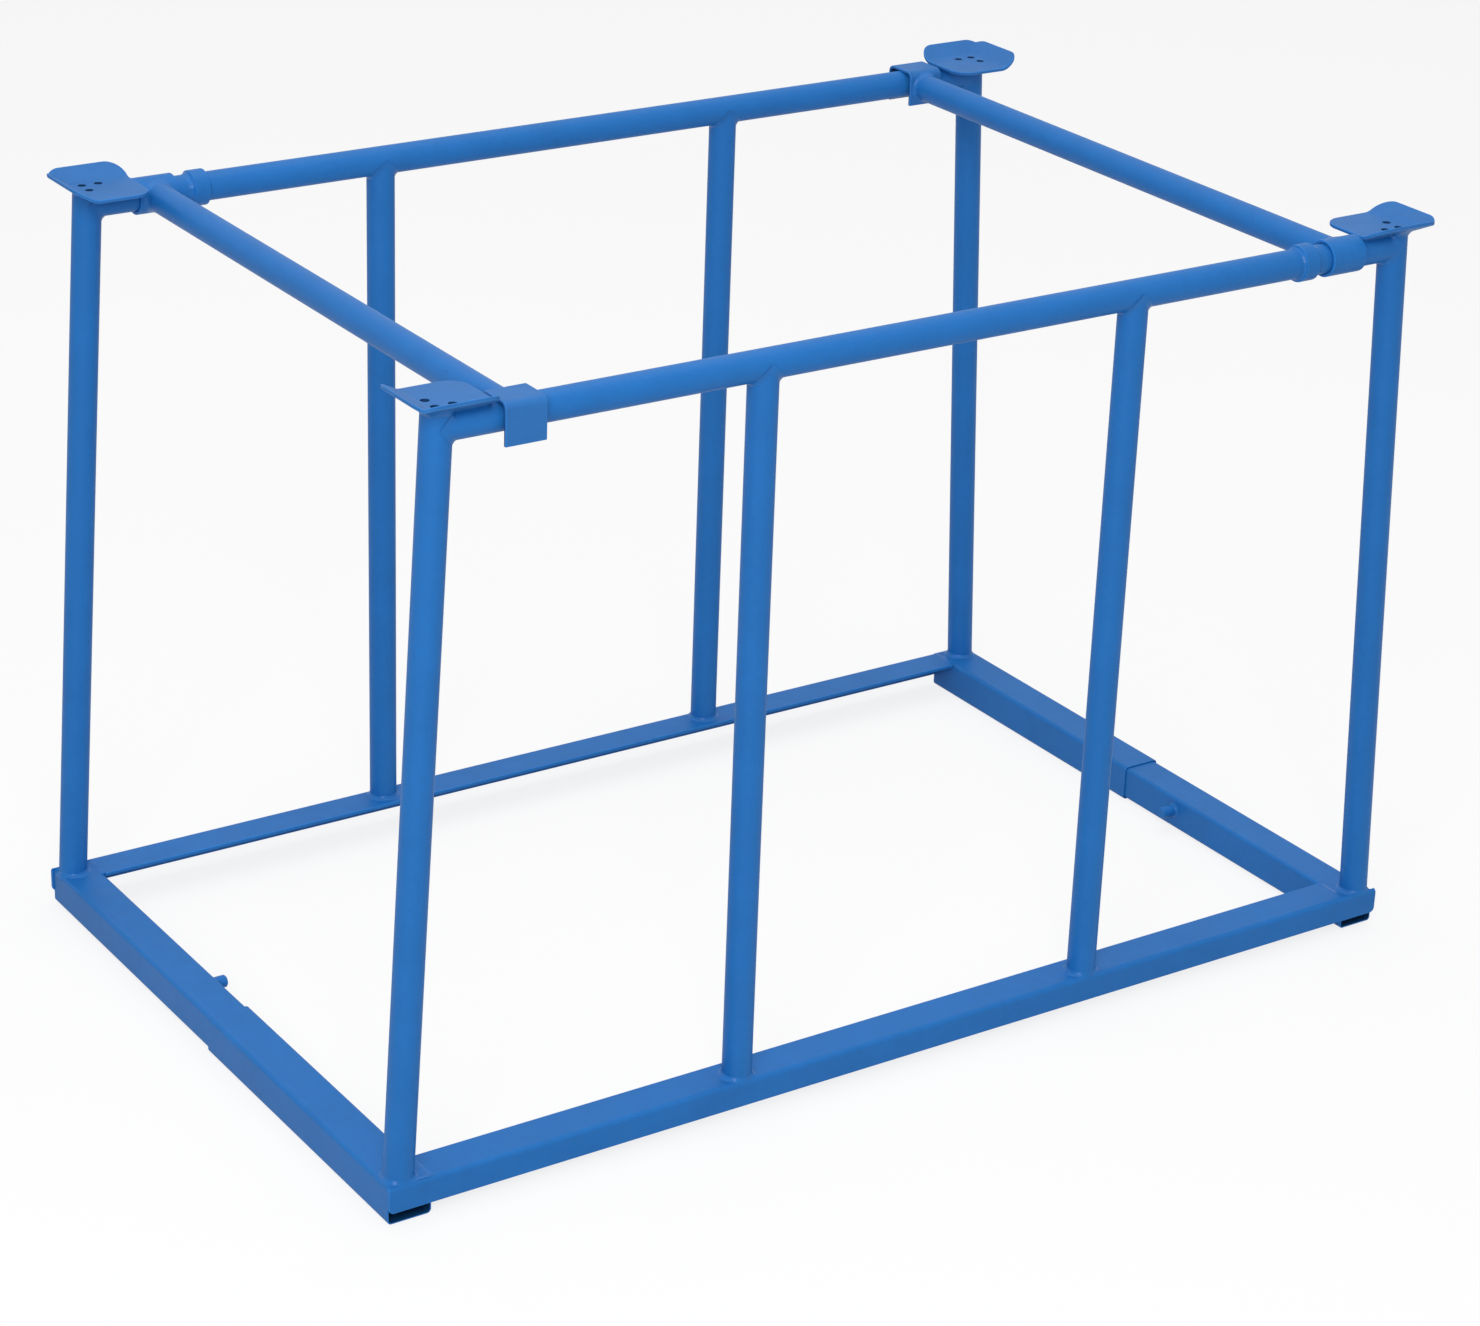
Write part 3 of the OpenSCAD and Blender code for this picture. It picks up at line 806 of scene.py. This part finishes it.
def weld_hook():
    """The weld between a cross bar's end and its hook's inner leg."""
    slimmer, longer = 0.85, 1.2
    leg = weld_sizes().leg * slimmer
    bend_z = HOOK_HIGH.z - HOOK_BEND
    centre = Vector((BAR_X, HOOK_LOW.y, AXIS_Z - BAR_DIP))
    stations = []
    for b in angles(TUBE_R):
        radial = Vector((math.cos(b), 0, math.sin(b)))
        point = centre + radial * TUBE_R
        point.y += drop(point.z - bend_z, HOOK_BEND)
        rest = centre + radial * (TUBE_R + leg)
        rest.z = min(rest.z, HOOK_HIGH.z - EDGE_KEPT)
        rest.y += drop(rest.z - bend_z, HOOK_BEND)
        out = (radial - Y_AXIS).normalized()
        stations.append((point, -Y_AXIS * leg * longer, rest - point, out))
    return new_weld(stations)


# Stage


def seen_rays(tree):
    """1 for rays from the camera and for clear reflections, 0 for rays that carry light."""
    path = put(tree, "ShaderNodeLightPath")
    seen = maths(tree, "MAXIMUM", path.outputs["Is Camera Ray"], path.outputs["Is Glossy Ray"])
    return maths(tree, "MAXIMUM", seen, path.outputs["Is Transmission Ray"])


def area_lamp(name, place, size, power):
    """A large square lamp that looks at the object."""
    lamp = bpy.data.lights.new(name, "AREA")
    lamp.shape = "SQUARE"
    lamp.size = size
    lamp.energy = power
    holder = bpy.data.objects.new(name, lamp)
    bpy.context.scene.collection.objects.link(holder)
    holder.location = place
    holder.rotation_euler = (LAMPS_AIM - place).to_track_quat("-Z", "Y").to_euler()


# Operators


class COLLAR_OT_paint(bpy.types.Operator):
    """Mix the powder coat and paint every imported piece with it"""

    bl_idname = "collar.paint"
    bl_label = "Paint the packed pieces"

    def execute(self, context):
        paint = context.scene.collar_paint
        groups = (build_tone(), build_gloss(), build_peel())
        for name in FINISHES:
            colour = getattr(paint, "fitting_paint" if name == "weld_paint" else name)
            build_paint(name, groups, tuple(colour), paint.gloss)
        for node, piece in NODES.items():
            if not piece.data.materials:
                raise RuntimeError(f"{node} came without a material slot to paint")
            for slot in piece.material_slots:
                slot.material = bpy.data.materials[coat_name(SLOT_OF[node])]
        return {"FINISHED"}


def soften_all(words, width, **limits):
    """Softens every node whose name ends in one of the words."""
    found = [node for node in sorted(NODES) if node.endswith(words)]
    if not found:
        raise RuntimeError(f"the packed model has no piece named {words}")
    for node in found:
        soften(node, width, **limits)


class COLLAR_OT_rails(bpy.types.Operator):
    """Round the cut edges of the long rails and end rails"""

    bl_idname = "collar.rails"
    bl_label = "Soften the rails"

    def execute(self, context):
        edges = context.scene.collar_edges
        soften_all("long_rail", edges.rail, shortest=0.4 * MM)
        soften_all("end_rail", edges.tube)
        return {"FINISHED"}


class COLLAR_OT_plates(bpy.types.Operator):
    """Round the corner plates' edges, vent holes and creases"""

    bl_idname = "collar.plates"
    bl_label = "Soften the corner plates"

    def execute(self, context):
        edges = context.scene.collar_edges
        soften_all("corner_plate", edges.plate, crease=edges.crease, merge=1.1 * MM)
        return {"FINISHED"}


class COLLAR_OT_fittings(bpy.types.Operator):
    """Round the edges of hooks, sleeves, stop rings and pegs"""

    bl_idname = "collar.fittings"
    bl_label = "Soften hooks, sleeves, rings and pegs"

    def execute(self, context):
        edges = context.scene.collar_edges
        soften_all("hook", edges.hook)
        soften_all(("pivot_sleeve", "stop_ring", "deck_peg"), edges.fitting)
        return {"FINISHED"}


class COLLAR_OT_post_welds(bpy.types.Operator):
    """Lay the welds at the feet and heads of all posts"""

    bl_idname = "collar.post_welds"
    bl_label = "Weld the posts"

    def execute(self, context):
        for end in ("left", "right"):
            corner = Post(f"front_{end}_corner_post")
            middle = Post(f"front_{end}_mid_post")
            settle_halves("corner_foot_weld", end, weld_foot(corner))
            settle_halves("corner_head_weld", end, weld_head(corner))
            settle_halves("mid_foot_weld", end, weld_foot(middle))
            settle_halves("mid_head_weld", end, weld_saddle(middle))
        return {"FINISHED"}


class COLLAR_OT_plate_welds(bpy.types.Operator):
    """Lay the welds under the corner plates"""

    bl_idname = "collar.plate_welds"
    bl_label = "Weld the corner plates"

    def execute(self, context):
        for end in ("left", "right"):
            post = Post(f"front_{end}_corner_post")
            settle_halves("plate_weld", end, weld_plate(post, f"front_{end}_corner_plate"))
        return {"FINISHED"}


class COLLAR_OT_rail_welds(bpy.types.Operator):
    """Lay the welds where the end rails meet the long rails, and round the locating pegs"""

    bl_idname = "collar.rail_welds"
    bl_label = "Weld the rails"

    def execute(self, context):
        settle_halves("flange_weld", "left", weld_flange(
            OUTER_HIGH.x, OUTER_HIGH.x - OUTER_R, OUTER_HIGH.z))
        settle_halves("flange_weld", "right", weld_flange(
            INNER_LOW.x, INNER_LOW.x + INNER_R, INNER_HIGH.z))
        # How far a weld runs past its rail on the inside, and how far short of the outside it ends
        past_outer, short_outer = 2.5 * MM, 3.2 * MM
        past_inner, short_inner, rise = 1.5 * MM, 2.4 * MM, 1.7 * MM
        settle_halves("heel_weld", "left", weld_heel(
            OUTER_HIGH.x + past_outer, OUTER_LOW.x + short_outer, OUTER_HIGH.z, 0))
        settle_halves("heel_weld", "right", weld_heel(
            INNER_LOW.x - past_inner, INNER_HIGH.x - short_inner, INNER_HIGH.z, rise))
        leg = 2.8 * MM
        peg_r = (PEG_HIGH.z - PEG_LOW.z) / 2
        centre = (PEG_LOW + PEG_HIGH) / 2
        centre.x = INNER_LOW.x
        settle_halves("peg_weld", "right", weld_ring_round(centre, -X_AXIS, peg_r, leg, leg))
        return {"FINISHED"}


class COLLAR_OT_bar_welds(bpy.types.Operator):
    """Lay the welds of the stop rings, pivot sleeves and hooks"""

    bl_idname = "collar.bar_welds"
    bl_label = "Weld the stop rings and cross bars"

    def execute(self, context):
        wide_reach, rise_share, leg = 6.5 * MM, 0.85, 2.6 * MM
        near = Vector((RING_HIGH.x, POST_Y, AXIS_Z))
        far = Vector((RING_LOW.x, POST_Y, AXIS_Z))
        settle_halves("ring_weld", "right", weld_ring_round(
            near, X_AXIS, TUBE_R, wide_reach, (SLEEVE_R - TUBE_R) * rise_share))
        settle_halves("ring_bead", "right", weld_ring_round(far, -X_AXIS, TUBE_R, leg, leg))
        bars = ("right_bar", "left_bar")
        settle_pair("right_sleeve_weld", "left_sleeve_weld", weld_sleeve(), *bars)
        settle_pair("right_hook_weld", "left_hook_weld", weld_hook(), *bars)
        return {"FINISHED"}


class COLLAR_OT_stage(bpy.types.Operator):
    """Set up the floor, the lamps, the even room light and the camera"""

    bl_idname = "collar.stage"
    bl_label = "Set the stage"

    def execute(self, context):
        scene = context.scene
        stage = scene.collar_stage
        self.floor(stage)
        self.room(scene, stage)
        area_lamp("lamp_front", FRONT_LAMP_AT, FRONT_LAMP_SIZE, stage.key)
        area_lamp("lamp_above", UPPER_LAMP_AT, UPPER_LAMP_SIZE, stage.above)
        self.camera(scene, stage)
        scene.view_settings.view_transform = "Standard"
        return {"FINISHED"}

    def floor(self, stage):
        """A wide flat floor that stays pale and keeps the shadow."""
        bm = bmesh.new()
        bmesh.ops.create_grid(bm, x_segments=1, y_segments=1, size=FLOOR_REACH)
        mesh = bpy.data.meshes.new("floor")
        bm.to_mesh(mesh)
        bm.free()
        material = bpy.data.materials.new("floor")
        material.use_nodes = True
        tree = material.node_tree
        tree.nodes.remove(tree.nodes["Principled BSDF"])
        seen = seen_rays(tree)
        shade = ramp(tree, seen, 0, 1, stage.bounce, stage.floor)
        matt = put(tree, "ShaderNodeBsdfDiffuse", [("Color", shade)])
        white = put(tree, "ShaderNodeEmission", [("Color", WHITE), ("Strength", 1)])
        both = put(tree, "ShaderNodeMixShader", [
            (0, maths(tree, "MULTIPLY", seen, stage.lift)), (1, matt.outputs[0]),
            (2, white.outputs[0])])
        tree.links.new(both.outputs[0], tree.nodes["Material Output"].inputs["Surface"])
        mesh.materials.append(material)
        floor = bpy.data.objects.new("floor", mesh)
        bpy.context.scene.collection.objects.link(floor)

    def room(self, scene, stage):
        """Even light from all sides, which the camera and clear reflections see as white."""
        scene.world = bpy.data.worlds.new("room")
        scene.world.use_nodes = True
        tree = scene.world.node_tree
        back = tree.nodes["Background"]
        back.inputs["Color"].default_value = WHITE
        strength = ramp(tree, seen_rays(tree), 0, 1, stage.world, 1)
        tree.links.new(strength, back.inputs["Strength"])

    def camera(self, scene, stage):
        """The camera at the photograph's place."""
        sight = Vector((math.sin(stage.azimuth) * math.cos(stage.elevation),
                        math.cos(stage.azimuth) * math.cos(stage.elevation),
                        -math.sin(stage.elevation)))
        level = sight.cross(Z_AXIS).normalized()
        upright = level.cross(sight)
        right = level * math.cos(stage.roll) + upright * math.sin(stage.roll)
        up = upright * math.cos(stage.roll) - level * math.sin(stage.roll)
        data = bpy.data.cameras.new("camera")
        data.sensor_width = SENSOR
        data.lens = stage.lens
        camera = bpy.data.objects.new("camera", data)
        scene.collection.objects.link(camera)
        turned = Matrix((right, up, -sight)).transposed().to_4x4()
        turned.translation = CAMERA_AT
        camera.matrix_world = turned
        scene.camera = camera


OPERATORS = (COLLAR_OT_paint, COLLAR_OT_rails, COLLAR_OT_plates, COLLAR_OT_fittings,
             COLLAR_OT_post_welds, COLLAR_OT_plate_welds, COLLAR_OT_rail_welds,
             COLLAR_OT_bar_welds, COLLAR_OT_stage)


class COLLAR_PT_panel(bpy.types.Panel):
    """Lists the sizes, colours and steps of the collar's finish"""

    bl_idname = "COLLAR_PT_panel"
    bl_label = "Stacking collar"
    bl_space_type = "VIEW_3D"
    bl_region_type = "UI"
    bl_category = "Collar"

    def draw(self, context):
        for group in (context.scene.collar_edges, context.scene.collar_welds,
                      context.scene.collar_paint, context.scene.collar_stage):
            box = self.layout.box()
            for name in group.bl_rna.properties.keys():
                if name not in ("name", "rna_type"):
                    box.prop(group, name)
        for operator in OPERATORS:
            self.layout.operator(operator.bl_idname)


GROUPS = {"collar_edges": CollarEdges, "collar_welds": CollarWelds,
          "collar_paint": CollarPaint, "collar_stage": CollarStage}


def register():
    for group in GROUPS.values():
        bpy.utils.register_class(group)
    for name, group in GROUPS.items():
        setattr(bpy.types.Scene, name, PointerProperty(type=group))
    for operator in (*OPERATORS, COLLAR_PT_panel):
        bpy.utils.register_class(operator)


def unregister():
    for operator in (*OPERATORS, COLLAR_PT_panel):
        bpy.utils.unregister_class(operator)
    for name, group in GROUPS.items():
        delattr(bpy.types.Scene, name)
        bpy.utils.unregister_class(group)


def main():
    """Makes every piece and the stage."""
    register()
    for operator in OPERATORS:
        family, step = operator.bl_idname.split(".")
        getattr(getattr(bpy.ops, family), step)()


if __name__ == "__main__":
    main()
